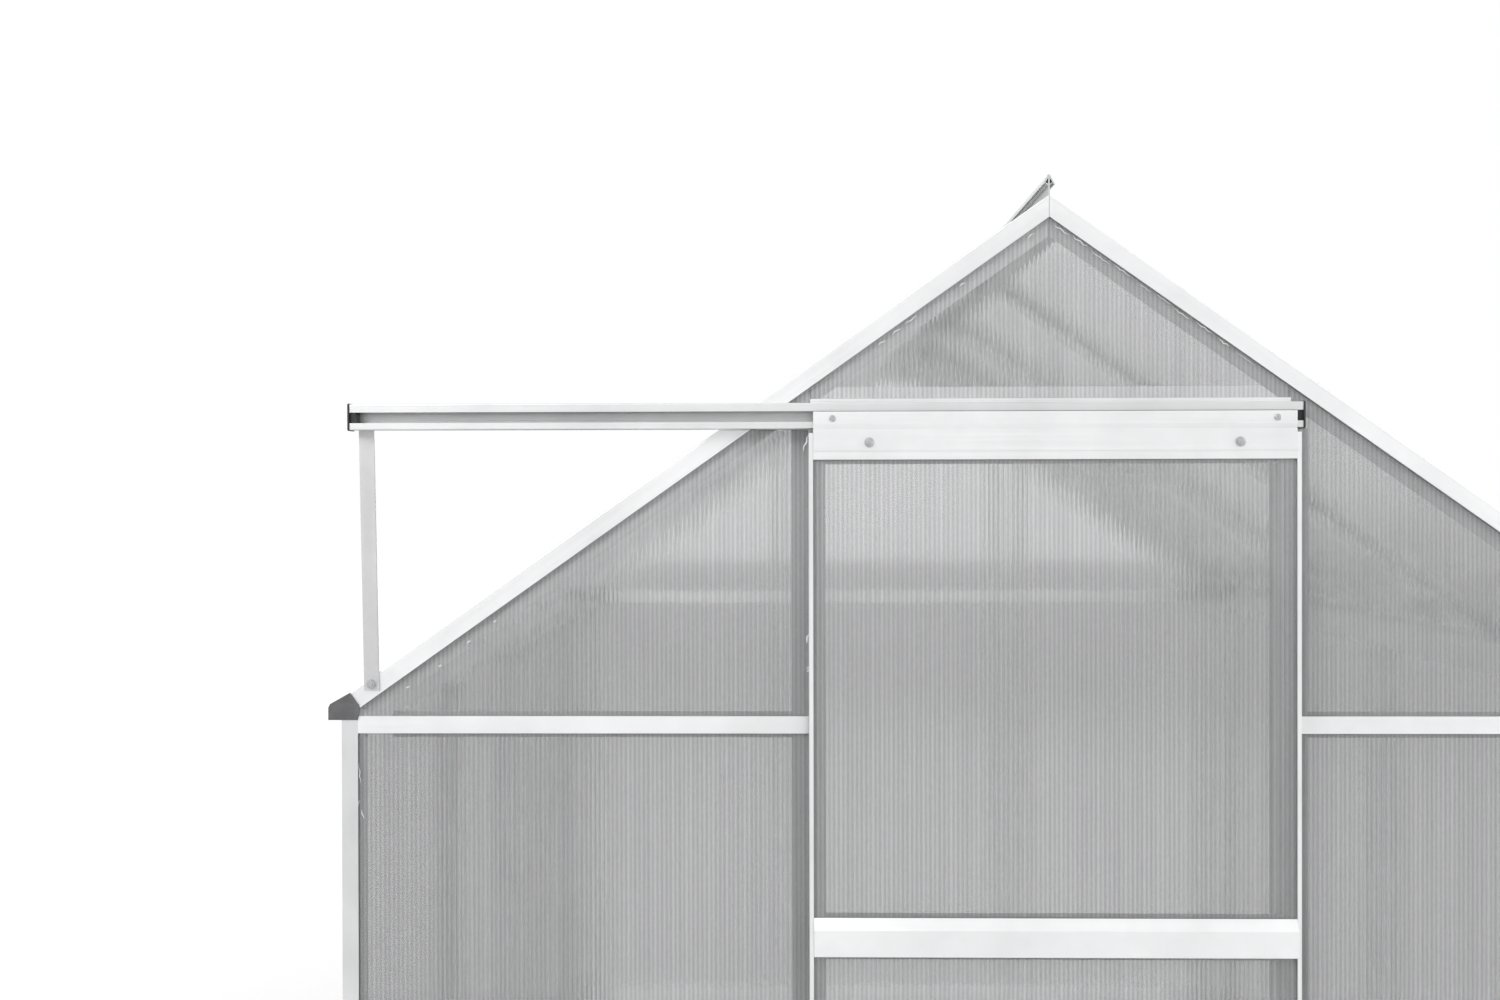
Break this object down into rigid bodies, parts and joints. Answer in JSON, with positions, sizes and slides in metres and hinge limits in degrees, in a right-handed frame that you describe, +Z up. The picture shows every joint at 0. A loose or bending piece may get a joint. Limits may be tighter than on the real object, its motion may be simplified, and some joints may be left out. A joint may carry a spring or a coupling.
{
  "type": "polycarbonate greenhouse",
  "caption": "Walk-in gable greenhouse of aluminium bars and clear twin-wall polycarbonate sheets, with roof vents and a sliding door hung from a rail.",
  "frame": {"origin": "on the ground, in the middle of the overall footprint", "axes": "+Z up, +Y from the door gable to the back gable, along the ridge, +X to the right seen from the door side"},
  "size_m": [1.924, 2.5264, 1.9441],
  "materials": {
    "aluminium": "mill-finish extrusion",
    "polycarbonate": "clear twin-wall sheet",
    "gutter_cap_plastic": "moulded dark grey",
    "rail_cap_plastic": "moulded black",
    "roller_plastic": "moulded nylon"
  },
  "bodies": {
    "frame": {"base_sill_front": "aluminium", "base_sill_back": "aluminium", "base_sill_left": "aluminium", "base_sill_right": "aluminium", "door_threshold": "aluminium", "corner_posts_front": "aluminium", "corner_posts_back": "aluminium", "wall_studs_left": "aluminium", "wall_studs_right": "aluminium", "door_jambs": "aluminium", "door_header": "aluminium", "gable_studs_back": "aluminium", "gable_bars_front": "aluminium", "gable_bars_back": "aluminium", "gable_rafter_front_left": "aluminium", "gable_rafter_front_right": "aluminium", "gable_rafters_back": "aluminium", "ridge_beam": "aluminium", "eave_gutter_left": "aluminium", "eave_gutter_right": "aluminium", "gutter_end_caps": "gutter_cap_plastic", "roof_rafters_left": "aluminium", "roof_rafters_right": "aluminium", "vent_cross_bars": "aluminium", "vent_frames": "aluminium", "vent_sheets": "polycarbonate", "front_sheets_lower": "polycarbonate", "front_sheets_upper": "polycarbonate", "front_sheet_apex": "polycarbonate", "back_sheets_lower": "polycarbonate", "back_sheets_upper": "polycarbonate", "side_sheets_left": "polycarbonate", "side_sheets_right": "polycarbonate", "roof_sheets_left": "polycarbonate", "roof_sheets_right": "polycarbonate", "door_rail": "aluminium", "rail_end_caps": "rail_cap_plastic", "rail_strut": "aluminium", "door_guide_track": "aluminium"},
    "door": {"door_stiles": "aluminium", "door_top_rail": "aluminium", "door_mid_rail": "aluminium", "door_bottom_rail": "aluminium", "door_sheets": "polycarbonate", "door_rollers": "roller_plastic"}
  },
  "joints": [
    {"name": "door_slide", "type": "slide", "parent": "frame", "child": "door", "axis": [-1, 0, 0], "range_m": [0, 0.6]}
  ]
}
